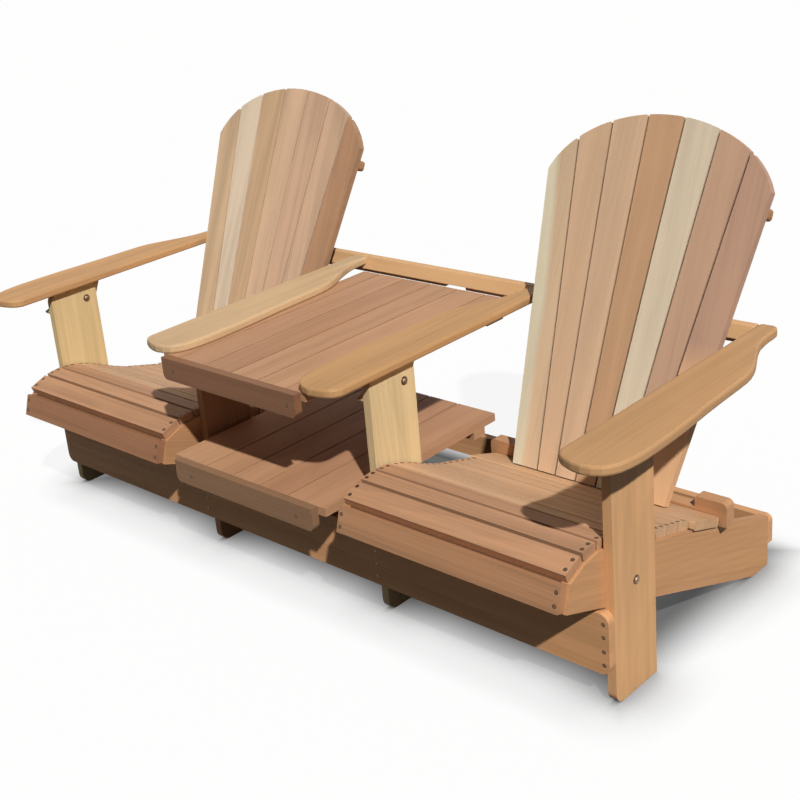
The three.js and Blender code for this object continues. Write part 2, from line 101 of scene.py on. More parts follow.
# Section of the batten behind a seat's nose, in Y and Z
BATTEN = ((-0.3893, 0.3074), (-0.3680, 0.3155), (-0.3680, 0.2850), (-0.3966, 0.2860))

# Edges eased by sandpaper, where faces meet at more than this many degrees
EASE = 0.0022
EASE_STEPS = 2
EASE_ANGLE = 35

# Painted shade where boards lie close, in seams and corners, from ambient occlusion: how far it reaches, how
# much, and how dark the wood gets
PAINTED_SHADE_REACH = 0.009
PAINTED_SHADE_DEPTH = 0.85
PAINTED_SHADE_LEVEL = 0.18

# Fasteners
BOLT_RADIUS = 0.0075
WASHER_RADIUS = 0.0098
SCREW_RADIUS = 0.0031
HOLE_RADIUS = 0.0044
ROUND_STEPS = 16

# The line that the seat slats lie on, from under the nose to the foot board, in Y and Z
SEAT_LINE = (
    (-0.4070, 0.2540), (-0.3900, 0.3080), (-0.3400, 0.3270), (-0.2985, 0.3312), (-0.2571, 0.3264),
    (-0.2172, 0.3140), (-0.1794, 0.2963), (-0.1415, 0.2787), (-0.1027, 0.2632), (-0.0624, 0.2523),
    (-0.0222, 0.2410), (0.0180, 0.2293),
)
SLAT_THICKNESS = 0.0193
SLAT_SCREW_INSET = 0.008
SLAT_SCREW_SHARES = (0.27, 0.73)

# Bolts in Y behind a leg's front and in Z, low on the outside and high on the seat's side
LOW_BOLT = (0.074, 0.238)
HIGH_BOLT = (0.107, 0.505)

# Screws: heights on the front apron at the outer and the inner legs, places in X and Z on the decks' aprons
APRON_SCREW_INSET = 0.012
APRON_INNER_X = 0.279
APRON_OUTER_HEIGHTS = (0.184, 0.156, 0.125, 0.096)
APRON_INNER_HEIGHTS = (0.184, 0.156, 0.126, 0.097)
TABLE_SCREWS = ((-0.176, 0.518), (0.188, 0.518))
SHELF_SCREWS = ((-0.170, 0.260), (0.172, 0.260))

# Screws at the rear: pitch over a brace, distance from a rail's ends, and depth from an edge
BRACE_PITCH = 0.077
BRACE_SIDE_SCREWS = 3
RAIL_INSET = 0.03
RAIL_INNER_X = 0.305
FOOT_RAIL_DROP = 0.022
STRETCHER_INSET = 0.016


def srgb(red, green, blue):
    """Linear colour from the values that a picture shows, 0 to 255."""
    def linear(value):
        value /= 255
        return value / 12.92 if value <= 0.04045 else ((value + 0.055) / 1.055) ** 2.4
    return (linear(red), linear(green), linear(blue), 1)


ALONG_X = Vector((1, 0, 0))
ALONG_Y = Vector((0, 1, 0))
ALONG_Z = Vector((0, 0, 1))


# Camera

def make_camera():
    data = bpy.data.cameras.new("camera")
    camera = bpy.data.objects.new("camera", data)
    bpy.context.scene.collection.objects.link(camera)
    data.sensor_width = SENSOR
    data.lens = FOCAL / IMAGE * SENSOR
    data.shift_x = (IMAGE / 2 - CENTRE_X) / IMAGE
    data.shift_y = (CENTRE_Y - IMAGE / 2) / IMAGE
    ahead = Vector((-math.sin(YAW) * math.cos(PITCH), math.cos(YAW) * math.cos(PITCH), -math.sin(PITCH)))
    level = Vector((math.cos(YAW), math.sin(YAW), 0))
    upright = level.cross(ahead)
    right = math.cos(ROLL) * level + math.sin(ROLL) * upright
    up = -math.sin(ROLL) * level + math.cos(ROLL) * upright
    turn = Matrix((right, up, -ahead)).transposed()
    camera.matrix_world = Matrix.Translation(CAMERA_PLACE) @ turn.to_4x4()
    bpy.context.scene.camera = camera


# Node helpers

class Tree:
    """A material's node tree with short calls for the nodes used here."""

    def __init__(self, name):
        self.material = bpy.data.materials.new(name)
        self.material.use_nodes = True
        self.tree = self.material.node_tree
        self.shader = self.tree.nodes["Principled BSDF"]

    def add(self, kind, **settings):
        node = self.tree.nodes.new(kind)
        for key, value in settings.items():
            setattr(node, key, value)
        return node

    def link(self, source, target):
        self.tree.links.new(source, target)

    def noise(self, vector, scale, detail, roughness=0.5, distortion=0.0):
        node = self.add("ShaderNodeTexNoise")
        self.link(vector, node.inputs["Vector"])
        node.inputs["Scale"].default_value = scale
        node.inputs["Detail"].default_value = detail
        node.inputs["Roughness"].default_value = roughness
        node.inputs["Distortion"].default_value = distortion
        return node.outputs["Fac"]

    def stretch(self, vector, scale, place=(0, 0, 0), turn=(0, 0, 0)):
        node = self.add("ShaderNodeMapping")
        self.link(vector, node.inputs["Vector"])
        node.inputs["Location"].default_value = place
        node.inputs["Rotation"].default_value = turn
        node.inputs["Scale"].default_value = scale
        return node.outputs["Vector"]

    def spread(self, value, low, high, to_low=0.0, to_high=1.0):
        node = self.add("ShaderNodeMapRange")
        self.link(value, node.inputs["Value"])
        node.inputs["From Min"].default_value = low
        node.inputs["From Max"].default_value = high
        node.inputs["To Min"].default_value = to_low
        node.inputs["To Max"].default_value = to_high
        return node.outputs["Result"]

    def soft(self, value, low, high):
        node = self.add("ShaderNodeMapRange", interpolation_type="SMOOTHSTEP")
        self.link(value, node.inputs["Value"])
        node.inputs["From Min"].default_value = low
        node.inputs["From Max"].default_value = high
        return node.outputs["Result"]

    def maths(self, operation, first, second):
        node = self.add("ShaderNodeMath", operation=operation)
        for socket, value in zip(node.inputs, (first, second)):
            if isinstance(value, (int, float)):
                socket.default_value = value
            else:
                self.link(value, socket)
        return node.outputs[0]

    def mix(self, factor, first, second, blend="MIX"):
        node = self.add("ShaderNodeMix", data_type="RGBA", blend_type=blend)
        for socket, value in ((node.inputs[0], factor), (node.inputs[6], first), (node.inputs[7], second)):
            if isinstance(value, (int, float, tuple)):
                socket.default_value = value
            else:
                self.link(value, socket)
        return node.outputs[2]


# Cedar

def shade(colour, factor):
    """The same colour, lighter or darker."""
    return tuple(min(value * factor, 1) for value in colour[:3]) + (1,)


# Noises of the wood: scale along and across the grain, detail, roughness
STREAK = (2.0, 160, 5, 0.6)
FINE = (8.0, 700, 3, 0.6)
SLOW = (0.9, 26, 2, 0.5)
BLOTCH = (2.5, 6, 3, 0.55)

# Growth rings: their wave, and how far their heart lies off the board
RING_WAVE = {"Scale": 62, "Distortion": 3.2, "Detail": 1.5, "Detail Scale": 0.35}
RING_HEART = (0.11, 0.07)
RING_HEART_DRIFT = 0.05
RING_TURNS = (14, 16)
RING_LENGTH = 0.1
EARLY_LIFT = 0.5
WOOD_GLOSS = 0.34
RELIEF = 0.3
WOOD_RELIEF = 0.0005
HOLE_RELIEF = 0.0003
PORE_SHADE = 0.66
BLOTCH_LIFT = 1.08


def sawn(tree, where, colour, grain, contrast, seed, painted_shade_depth=PAINTED_SHADE_DEPTH):
    """Sawn cedar: growth rings cut lengthwise, fine streaks and slow changes of tone along the grain.

    Returns the sockets of its colour, its roughness and its relief."""
    early = shade(colour, 1 + EARLY_LIFT * contrast)
    late = shade(colour, 1 - contrast)
    turn = ALONG_X.rotation_difference(grain).inverted().to_euler()
    offset = (seed * 1.37 % 5, seed * 0.71 % 3, seed * 0.37 % 2)
    straight = tree.stretch(where, (1, 1, 1), turn=tuple(turn))
    board = tree.stretch(straight, (1, 1, 1), place=offset)

    # Growth rings round a heart that lies off the board and drifts from end to end
    side, depth = RING_HEART_DRIFT * math.sin(seed * 2.3), RING_HEART_DRIFT * math.cos(seed * 1.7)
    heart = (0, RING_HEART[0] + side, RING_HEART[1] + depth)
    drift = (0, math.radians(RING_TURNS[0] * math.sin(seed)), math.radians(RING_TURNS[1] * math.cos(seed * 1.9)))
    ringed = tree.stretch(straight, (RING_LENGTH, 1, 1), place=heart, turn=drift)
    rings = tree.add("ShaderNodeTexWave", wave_type="RINGS", rings_direction="X", wave_profile="SAW")
    tree.link(ringed, rings.inputs["Vector"])
    for name, value in RING_WAVE.items():
        rings.inputs[name].default_value = value
    ring = tree.spread(rings.outputs["Fac"], 0.3, 1.0)

    streak, fine, slow, blotch = (
        tree.noise(tree.stretch(board, (along, across, across)), 1, detail, roughness)
        for along, across, detail, roughness in (STREAK, FINE, SLOW, BLOTCH)
    )

    amount = tree.maths("MULTIPLY", ring, 0.34)
    amount = tree.maths("ADD", amount, tree.spread(streak, 0.34, 0.66, 0, 0.5))
    amount = tree.maths("ADD", amount, tree.spread(slow, 0.36, 0.64, -0.4, 0.5))
    base = tree.mix(amount, early, late)
    pores = tree.maths("MULTIPLY", tree.spread(fine, 0.56, 0.74), 0.42)
    base = tree.mix(pores, base, shade(late, PORE_SHADE))
    base = tree.mix(tree.spread(blotch, 0.48, 0.68, 0, 0.5), base, shade(early, BLOTCH_LIFT))
    # Painted shade: the wood darkens where other faces lie within reach, in seams and corners
    near = tree.add("ShaderNodeAmbientOcclusion", samples=6)
    near.inputs["Distance"].default_value = PAINTED_SHADE_REACH
    painted_shade = tree.spread(near.outputs["AO"], 0.05, 0.55, painted_shade_depth, 0)
    base = tree.mix(painted_shade, base, shade(colour, PAINTED_SHADE_LEVEL))
    rough = tree.spread(streak, 0.3, 0.7, 0.56, 0.7)
    height = tree.maths("ADD", tree.maths("MULTIPLY", fine, 0.6), tree.maths("MULTIPLY", streak, 0.7))
    height = tree.maths("ADD", height, tree.maths("MULTIPLY", ring, 0.25))
    return base, rough, height


def add_relief(tree, height, distance):
    """Bump of the surface, for relief too fine to model."""
    bump = tree.add("ShaderNodeBump")
    bump.inputs["Strength"].default_value = RELIEF
    bump.inputs["Distance"].default_value = distance
    tree.link(height, bump.inputs["Height"])
    tree.link(bump.outputs["Normal"], tree.shader.inputs["Normal"])


def finish_wood(tree, base, rough, height):
    tree.link(base, tree.shader.inputs["Base Color"])
    tree.link(rough, tree.shader.inputs["Roughness"])
    tree.shader.inputs["Specular IOR Level"].default_value = WOOD_GLOSS
    add_relief(tree, height, WOOD_RELIEF)
    return tree.material


def cedar(name, colour, grain, contrast, seed, painted_shade_depth=PAINTED_SHADE_DEPTH):
    tree = Tree(name)
    where = tree.add("ShaderNodeTexCoord").outputs["Object"]
    return finish_wood(tree, *sawn(tree, where, srgb(*colour), grain, contrast, seed, painted_shade_depth))


def cedar_with_sapwood(name, colour, sapwood, grain, contrast, seed, low, high, blend):
    """A board with a paler part, left of or below a line through the points low and high in X and Z."""
    tree = Tree(name)
    where = tree.add("ShaderNodeTexCoord").outputs["Object"]
    base, rough, height = sawn(tree, where, srgb(*colour), grain, contrast, seed)
    pale, _, _ = sawn(tree, where, srgb(*sapwood), grain, contrast * 0.6, seed + 3)
    parts = tree.add("ShaderNodeSeparateXYZ")
    tree.link(where, parts.inputs[0])
    slant = (high[0] - low[0]) / (high[1] - low[1])
    line = tree.maths("ADD", tree.maths("MULTIPLY", parts.outputs["Z"], slant), low[0] - slant * low[1])
    drift = tree.noise(tree.stretch(where, (3, 3, 3), place=(seed, 0, 0)), 1, 2, 0.5)
    line = tree.maths("ADD", line, tree.spread(drift, 0.3, 0.7, -0.006, 0.006))
    side = tree.maths("SUBTRACT", parts.outputs["X"], line)
    base = tree.mix(tree.spread(side, -blend, blend), pale, base)
    return finish_wood(tree, base, rough, height)


# How far a point may lie from a stringer's side and still be on it
FACE_ROOM = 0.0015


def cedar_with_slats(name, colour, slat, grain, contrast, seed, faces, ends):
    """A stringer in one piece with seat slats: each slat has its own tone and its grain runs across.

    faces are the X of the stringer's sides. ends are the Y where each slat starts, then where the last ends."""
    tree = Tree(name)
    where = tree.add("ShaderNodeTexCoord").outputs["Object"]
    base, rough, height = sawn(tree, where, srgb(*colour), grain, contrast, seed)
    parts = tree.add("ShaderNodeSeparateXYZ")
    tree.link(where, parts.inputs[0])
    count = None
    for start in ends[1:-1]:
        passed = tree.maths("GREATER_THAN", parts.outputs["Y"], start)
        count = passed if count is None else tree.maths("ADD", count, passed)
    shift = tree.add("ShaderNodeCombineXYZ")
    for axis, step in zip("XYZ", (1.7, 0.37, 0.53)):
        tree.link(tree.maths("MULTIPLY", count, step), shift.inputs[axis])
    moved = tree.add("ShaderNodeVectorMath", operation="ADD")
    tree.link(where, moved.inputs[0])
    tree.link(shift.outputs[0], moved.inputs[1])
    slats = sawn(tree, moved.outputs[0], srgb(*slat), ALONG_X, contrast, seed + 5)
    tone = tree.maths("SINE", tree.maths("MULTIPLY", count, 2.4), 0)
    slat_base = tree.mix(tree.spread(tone, -1, 1, 0, 0.35), slats[0], shade(srgb(*slat), 0.8))
    normal = tree.add("ShaderNodeSeparateXYZ")
    tree.link(tree.add("ShaderNodeNewGeometry").outputs["True Normal"], normal.inputs[0])
    sideways = tree.maths("GREATER_THAN", tree.maths("ABSOLUTE", normal.outputs["X"], 0), 0.5)
    middle = (faces[0] + faces[1]) / 2
    reach = abs(faces[0] - faces[1]) / 2 - FACE_ROOM
    off = tree.maths("ABSOLUTE", tree.maths("SUBTRACT", parts.outputs["X"], middle), 0)
    past, short = tree.maths("GREATER_THAN", off, reach), tree.maths("LESS_THAN", off, reach + 2 * FACE_ROOM)
    at_face = tree.maths("MULTIPLY", past, short)
    stringer = tree.maths("MULTIPLY", sideways, at_face)
    stringer = tree.maths("MAXIMUM", stringer, tree.maths("GREATER_THAN", parts.outputs["Y"], ends[-1]))
    stringer = tree.maths("MAXIMUM", stringer, tree.maths("LESS_THAN", parts.outputs["Y"], ends[0]))
    base = tree.mix(stringer, slat_base, base)
    return finish_wood(tree, base, rough, height)


def steel(name, dull, bright):
    """Plated steel of screws and bolts, dulled by weather."""
    tree = Tree(name)
    where = tree.add("ShaderNodeTexCoord").outputs["Object"]
    grain = tree.noise(tree.stretch(where, (900, 900, 900)), 1, 3, 0.6)
    tree.link(tree.mix(grain, srgb(*dull), srgb(*bright)), tree.shader.inputs["Base Color"])
    tree.link(tree.spread(grain, 0.3, 0.7, 0.34, 0.5), tree.shader.inputs["Roughness"])
    tree.shader.inputs["Metallic"].default_value = 1
    return tree.material


def hole(name):
    """The shaded mouth of a countersunk screw hole."""
    tree = Tree(name)
    where = tree.add("ShaderNodeTexCoord").outputs["Object"]
    grain = tree.noise(tree.stretch(where, (500, 500, 500)), 1, 3, 0.6)
    tree.link(tree.mix(grain, srgb(*HOLE_TONES[0]), srgb(*HOLE_TONES[1])), tree.shader.inputs["Base Color"])
    tree.shader.inputs["Roughness"].default_value = 0.85
    add_relief(tree, grain, HOLE_RELIEF)
    return tree.material


def slope(angle):
    """Direction of a board that leans back by angle from upright."""
    return Vector((0, math.sin(angle), math.cos(angle)))


# The backs' lean, half a brace's thickness, and X of the inner legs' sides towards the table
BACK_ANGLE = math.radians(25.6)
BRACE_HALF = 0.0096
INNER_LEG_FACE = 0.26695
BACK_LEAN = slope(BACK_ANGLE)
STRINGER_RUN = Vector((0, 1, -0.36)).normalized()

# Colour, grain and contrast of each board's wood
LOOKS = {
    "right_outer_leg": ((219, 169, 120), ALONG_Z, 0.12),
    "right_inner_leg": ((218, 192, 146), ALONG_Z, 0.12),
    "left_outer_leg": ((216, 189, 140), ALONG_Z, 0.12),
    # left_inner_leg's tone is lowered to match it where the table shades it: painted shade
    "left_inner_leg": ((168, 122, 86), ALONG_Z, 0.12),
    "right_outer_arm": ((189, 146, 102), ALONG_Y, 0.12),
    "right_inner_arm": ((190, 146, 99), ALONG_Y, 0.14),
    "left_inner_arm": ((201, 169, 130), ALONG_Y, 0.14),
    "left_outer_arm": ((197, 151, 104), ALONG_Y, 0.14),
    "right_outer_stringer": ((198, 148, 104), STRINGER_RUN, 0.12),
    "left_outer_stringer": ((196, 146, 104), STRINGER_RUN, 0.12),
    "front_apron": ((214, 160, 112), ALONG_X, 0.12),
    "rear_stretcher": ((212, 158, 112), ALONG_X, 0.14),
    "table_apron": ((132, 92, 66), ALONG_X, 0.12),
    "shelf_apron": ((140, 106, 78), ALONG_X, 0.14),
}
BACKS = {
    "right": ((207, 178, 146), (204, 170, 138), (209, 175, 143), (195, 154, 118), (215, 198, 172),
              (193, 156, 129), (186, 148, 125)),
    "left": ((204, 174, 140), (215, 195, 170), (203, 169, 134), (208, 174, 143), (203, 167, 138),
             (202, 168, 139), (175, 135, 103)),
}

# Paler part of a board: its colour, two points in X and Z of the line where it ends, and that line's softness
PALE_PARTS = {
    "right_back_slat_1": ((214, 203, 176), (0.402, 0.238), (0.318, 0.86), 0.008),
    "right_back_slat_7": ((220, 174, 132), (0.9, 0.5), (0.6, 0.52), 0.6),
}

SEAT_TONES = (
    (175, 129, 94), (182, 137, 103), (184, 140, 107), (186, 141, 108), (208, 168, 131), (206, 165, 128),
)
FUSED_TONE = (206, 165, 128)
FUSED_STARTS = [y + 0.006 for y, _ in SEAT_LINE[6:]]
INNER_STRINGER_TONE = (190, 141, 101)
RAIL_TONE = (212, 168, 121)
# The batten's dark tone is painted shade in the slit behind a seat's nose
BATTEN_SHADE_TONE = (112, 78, 54)
RAIL_CONTRAST = 0.14
RAIL_SEED = 61
BATTEN_SEED = 67
STEEL_TONES = ((118, 96, 80), (168, 142, 118))
DARK_STEEL_TONES = ((88, 66, 50), (142, 116, 92))
HOLE_TONES = ((44, 27, 17), (72, 47, 30))
TABLE_TONES = (
    (180, 137, 104), (183, 139, 107), (176, 132, 100), (181, 138, 105), (186, 142, 108), (178, 134, 102),
)
SHELF_TONES = ((188, 144, 109), (184, 139, 105), (184, 140, 106), (176, 131, 99), (183, 138, 105))
for chair, back in BACKS.items():
    for i, tone in enumerate(back):
        LOOKS[f"{chair}_back_slat_{i + 1}"] = (tone, BACK_LEAN, 0.1 if chair == "right" else 0.2)
    for i, tone in enumerate(SEAT_TONES):
        LOOKS[f"{chair}_seat_slat_{i + 1}"] = (tone, ALONG_X, 0.2)
    LOOKS[f"{chair}_foot_board"] = ((204, 162, 122), ALONG_X, 0.14)
    LOOKS[f"{chair}_foot_rail"] = ((190, 142, 102), ALONG_X, 0.14)
    LOOKS[f"{chair}_upper_brace"] = ((176, 128, 88), ALONG_X, 0.14)
LOOKS["left_seat_slat_1"] = ((151, 107, 77), ALONG_X, 0.2)
# How deep the painted shade in seams goes on some boards
PAINTED_SHADE_DEPTHS = {"left_back": 0.35, "table_board": 0.0, "shelf_board": 0.4}
for i, tone in enumerate(TABLE_TONES):
    LOOKS[f"table_board_{i + 1}"] = (tone, ALONG_Y, 0.12)
for i, tone in enumerate(SHELF_TONES):
    LOOKS[f"shelf_board_{i + 1}"] = (tone, ALONG_Y, 0.12)


def stringer_faces(chair):
    """X of the sides of a chair's inner stringer, whose node spans its slats too."""
    outer_low, outer_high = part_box(f"{chair}_outer_stringer")
    middle = (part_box(f"{chair}_foot_board")[0].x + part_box(f"{chair}_foot_board")[1].x) / 2
    return (2 * middle - outer_high.x, 2 * middle - outer_low.x)


def dress(node, material):
    node.data.materials.clear()
    node.data.materials.append(material)
    ease = node.modifiers.new("ease", "BEVEL")
    ease.width = EASE
    ease.segments = EASE_STEPS
    ease.limit_method = "ANGLE"
    ease.angle_limit = math.radians(EASE_ANGLE)


def dress_nodes():
    seeds = {name: seed + 1 for seed, name in enumerate(sorted(nodes))}
    for name, (colour, grain, contrast) in LOOKS.items():
        if name in PALE_PARTS:
            material = cedar_with_sapwood(
                f"cedar_{name}", colour, PALE_PARTS[name][0], grain, contrast, seeds[name], *PALE_PARTS[name][1:],
            )
        else:
            depths = [depth for part, depth in PAINTED_SHADE_DEPTHS.items() if name.startswith(part)]
            painted_shade_depth = depths[0] if depths else PAINTED_SHADE_DEPTH
            material = cedar(f"cedar_{name}", colour, grain, contrast, seeds[name], painted_shade_depth)
        dress(nodes[name], material)
    for chair in BACKS:
        name = f"{chair}_inner_stringer"
        material = cedar_with_slats(
            f"cedar_{name}", INNER_STRINGER_TONE, FUSED_TONE, STRINGER_RUN, 0.14, seeds[name],
            stringer_faces(chair), FUSED_STARTS,
        )
        dress(nodes[name], material)


def solid_along_x(mesh, outline, start, stop):
    """Adds a closed prism: outline holds Y and Z, going round."""
    ends = [[mesh.verts.new((x, y, z)) for y, z in outline] for x in (start, stop)]
    for i in range(len(outline)):
        after = (i + 1) % len(outline)
        mesh.faces.new((ends[0][i], ends[0][after], ends[1][after], ends[1][i]))
    mesh.faces.new(list(reversed(ends[0])))
    mesh.faces.new(ends[1])


def new_object(name, mesh):
    """A scene object of a mesh that is being built, with its faces turned outward."""
    bmesh.ops.recalc_face_normals(mesh, faces=mesh.faces)
    data = bpy.data.meshes.new(name)
    mesh.to_mesh(data)
    mesh.free()
    piece = bpy.data.objects.new(name, data)
    bpy.context.scene.collection.objects.link(piece)
    return piece


def add_arm_rail():
    """The rail behind the table: its face leans, and the wood below stands back, with a slot in it."""
    low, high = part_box("arm_rail")
    foot = high.z - RAIL_FACE
    mesh = bmesh.new()
    face = ((high.y, high.z), (low.y, high.z), (low.y - RAIL_LEAN, foot), (high.y, foot))
    solid_along_x(mesh, face, low.x, high.x)
    front, top = low.y + RAIL_LAP, foot + RAIL_LAP
    wall = ((high.y, top), (front, top), (front, low.z), (high.y, low.z))
    solid_along_x(mesh, wall, low.x, RAIL_SLOT[0])
    solid_along_x(mesh, wall, RAIL_SLOT[1], high.x)
    rail = new_object("faced_arm_rail", mesh)
    dress(rail, cedar("cedar_faced_arm_rail", RAIL_TONE, ALONG_X, RAIL_CONTRAST, RAIL_SEED))
    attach(rail, "root")
    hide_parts("arm_rail")


def add_nose_battens():
    """A batten in the corner behind the first two slats of each seat, that shades the slit between them. It is
    put there to darken the slit, and its dark tone is painted shade.
    """
    for chair in BACKS:
        outer = sorted(point.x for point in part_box(f"{chair}_outer_stringer"))
        inner = sorted(stringer_faces(chair))
        start, stop = (outer[1], inner[0]) if chair == "left" else (inner[1], outer[0])
        mesh = bmesh.new()
        solid_along_x(mesh, BATTEN, start, stop)
        name = f"{chair}_nose_batten"
        batten = new_object(name, mesh)
        dress(batten, cedar(f"cedar_{name}", BATTEN_SHADE_TONE, ALONG_X, RAIL_CONTRAST, BATTEN_SEED))
        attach(batten, "root")


# Fasteners

def turned(mesh, place, normal, profile, drive=0):
    """Adds a closed turned shape on a face: profile holds radius and height, drive squares its last rings."""
    normal = Vector(normal).normalized()
    side = normal.orthogonal().normalized()
    other = normal.cross(side)
    rings = []
    for index, (radius, height) in enumerate(profile):
        square = index >= len(profile) - drive
        ring = []
        for step in range(ROUND_STEPS):
            turn = 2 * math.pi * step / ROUND_STEPS
            reach = radius
            if square:
                reach = radius / max(abs(math.cos(turn)), abs(math.sin(turn)))
            point = side * math.cos(turn) * reach + other * math.sin(turn) * reach + normal * height
            ring.append(mesh.verts.new(Vector(place) + point))
        rings.append(ring)
    for low, high in zip(rings, rings[1:]):
        for step in range(ROUND_STEPS):
            after = (step + 1) % ROUND_STEPS
            mesh.faces.new((low[step], low[after], high[after], high[step]))
    mesh.faces.new(list(reversed(rings[0])))
    mesh.faces.new(rings[-1])


SCREW_PROFILE = (
    (0.8 * SCREW_RADIUS, -0.0012), (SCREW_RADIUS, 0.0002), (0.95 * SCREW_RADIUS, 0.0006),
    (0.6 * SCREW_RADIUS, 0.0008), (0.36 * SCREW_RADIUS, 0.0008), (0.34 * SCREW_RADIUS, 0.0001),
)
HOLE_PROFILE = ((0.9 * HOLE_RADIUS, -0.0008), (HOLE_RADIUS, 0.0001), (0.8 * HOLE_RADIUS, 0.0003))
BOLT_PROFILE = (
    (0.9 * BOLT_RADIUS, 0.0002), (BOLT_RADIUS, 0.0016), (0.96 * BOLT_RADIUS, 0.0028),
    (0.8 * BOLT_RADIUS, 0.0042), (0.55 * BOLT_RADIUS, 0.0052), (0.28 * BOLT_RADIUS, 0.0057),
)
WASHER_PROFILE = (
    (0.97 * WASHER_RADIUS, -0.0006), (WASHER_RADIUS, 0.0003), (0.97 * WASHER_RADIUS, 0.0012),
    (0.9 * WASHER_RADIUS, 0.0015),
)


def fastener_piece(name, places, profile, material, drive=0):
    mesh = bmesh.new()
    for place, normal in places:
        turned(mesh, place, normal, profile, drive)
    piece = new_object(name, mesh)
    piece.data.materials.append(material)
    piece.data.polygons.foreach_set("use_smooth", [profile is BOLT_PROFILE] * len(piece.data.polygons))
    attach(piece, "root")


def add_screws(name, places):
    fastener_piece(f"{name}_screws", places, SCREW_PROFILE, DARK_METAL, drive=2)
    fastener_piece(f"{name}_screw_holes", places, HOLE_PROFILE, HOLE)


def add_bolts(name, places):
    fastener_piece(f"{name}_bolts", places, BOLT_PROFILE, METAL)
    fastener_piece(f"{name}_washers", places, WASHER_PROFILE, DARK_METAL)


def column(x, y, heights, normal):
    return [((x, y, z), normal) for z in heights]


def seat_screws(chair):
    """Two screws in each end of every seat slat, over the stringers."""
    places = []
    for side in ("outer", "inner"):
        if side == "outer":
            low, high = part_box(f"{chair}_outer_stringer")
            middle = (low.x + high.x) / 2
        else:
            middle = sum(stringer_faces(chair)) / 2
        slat_low, slat_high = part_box(f"{chair}_seat_slat_1")
        x = min(max(middle, slat_low.x + SLAT_SCREW_INSET), slat_high.x - SLAT_SCREW_INSET)
        for (y0, z0), (y1, z1) in zip(SEAT_LINE, SEAT_LINE[1:]):
            run = Vector((0, y1 - y0, z1 - z0))
            normal = ALONG_X.cross(run).normalized()
            for share in SLAT_SCREW_SHARES:
                place = Vector((x, y0, z0)) + run * share + normal * SLAT_THICKNESS
                places.append((place, normal))
    return places


def add_fasteners():
    front, back = -ALONG_Y, ALONG_Y
    for chair in BACKS:
        add_screws(f"{chair}_seat", seat_screws(chair))

    # Bolts through the legs: low ones from outside, high ones from the seat's side
    low_bolts, high_bolts = [], []
    for chair, outward in (("left", -1), ("right", 1)):
        leg_low, leg_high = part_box(f"{chair}_outer_leg")
        apron_low, apron_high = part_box("front_apron")
        outer_face = apron_low.x if outward < 0 else apron_high.x
        low_bolts.append(((outer_face, leg_low.y + LOW_BOLT[0], LOW_BOLT[1]), ALONG_X * outward))
        seat_face = leg_high.x if outward < 0 else leg_low.x
        high_bolts.append(((seat_face, leg_low.y + HIGH_BOLT[0], HIGH_BOLT[1]), ALONG_X * -outward))
        inner_low, inner_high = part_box(f"{chair}_inner_leg")
        seat_face = inner_low.x if outward < 0 else inner_high.x
        high_bolts.append(((seat_face, inner_low.y + HIGH_BOLT[0], HIGH_BOLT[1]), ALONG_X * outward))
        table_side = INNER_LEG_FACE * outward
        low_bolts.append(((table_side, inner_low.y + LOW_BOLT[0], LOW_BOLT[1]), ALONG_X * -outward))
    add_bolts("leg_low", low_bolts)
    add_bolts("leg_high", high_bolts)

    # Front apron: a column of screws at each leg
    apron_low, apron_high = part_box("front_apron")
    outer = apron_high.x - APRON_SCREW_INSET
    places = []
    for x in (-outer, outer):
        places += column(x, apron_low.y, APRON_OUTER_HEIGHTS, front)
    for x in (-APRON_INNER_X, APRON_INNER_X):
        places += column(x, apron_low.y, APRON_INNER_HEIGHTS, front)
    add_screws("apron", places)

    # Aprons of the table and the shelf
    table_low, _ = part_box("table_apron")
    shelf_low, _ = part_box("shelf_apron")
    places = [((x, table_low.y, z), front) for x, z in TABLE_SCREWS]
    places += [((x, shelf_low.y, z), front) for x, z in SHELF_SCREWS]
    add_screws("deck_apron", places)

    # Rear: braces, foot rails, arm rail and stretcher
    places = []
    for chair in BACKS:
        low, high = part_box(f"{chair}_upper_brace")
        middle = (low.x + high.x) / 2
        lean = Vector((0, math.cos(BACK_ANGLE), -math.sin(BACK_ANGLE)))
        centre = Vector((middle, (low.y + high.y) / 2, (low.z + high.z) / 2)) + lean * BRACE_HALF
        for step in range(-BRACE_SIDE_SCREWS, BRACE_SIDE_SCREWS + 1):
            places.append((centre + ALONG_X * step * BRACE_PITCH, lean))
        low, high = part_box(f"{chair}_foot_rail")
        for x in (low.x + RAIL_INSET, high.x - RAIL_INSET):
            places.append(((x, high.y, high.z - FOOT_RAIL_DROP), back))
    low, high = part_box("arm_rail")
    for x in (low.x + RAIL_INSET, -RAIL_INNER_X, RAIL_INNER_X, high.x - RAIL_INSET):
        places.append(((x, high.y, (low.z + high.z) / 2), back))
    low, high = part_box("rear_stretcher")
    for chair in BACKS:
        stringer_low, stringer_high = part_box(f"{chair}_outer_stringer")
        for x in ((stringer_low.x + stringer_high.x) / 2, sum(stringer_faces(chair)) / 2):
            places += column(x, high.y, (low.z + STRETCHER_INSET, high.z - STRETCHER_INSET), back)
    add_screws("rear", places)


# Floor and light

def seen_by_camera(tree):
    """1 for the rays that show the background, 0 for the light that falls on the object."""
    path = tree.nodes.new("ShaderNodeLightPath")
    last = path.outputs["Is Camera Ray"]
    for ray in ("Is Glossy Ray", "Is Transmission Ray"):
        most = tree.nodes.new("ShaderNodeMath")
        most.operation = "MAXIMUM"
        tree.links.new(last, most.inputs[0])
        tree.links.new(path.outputs[ray], most.inputs[1])
        last = most.outputs[0]
    return last


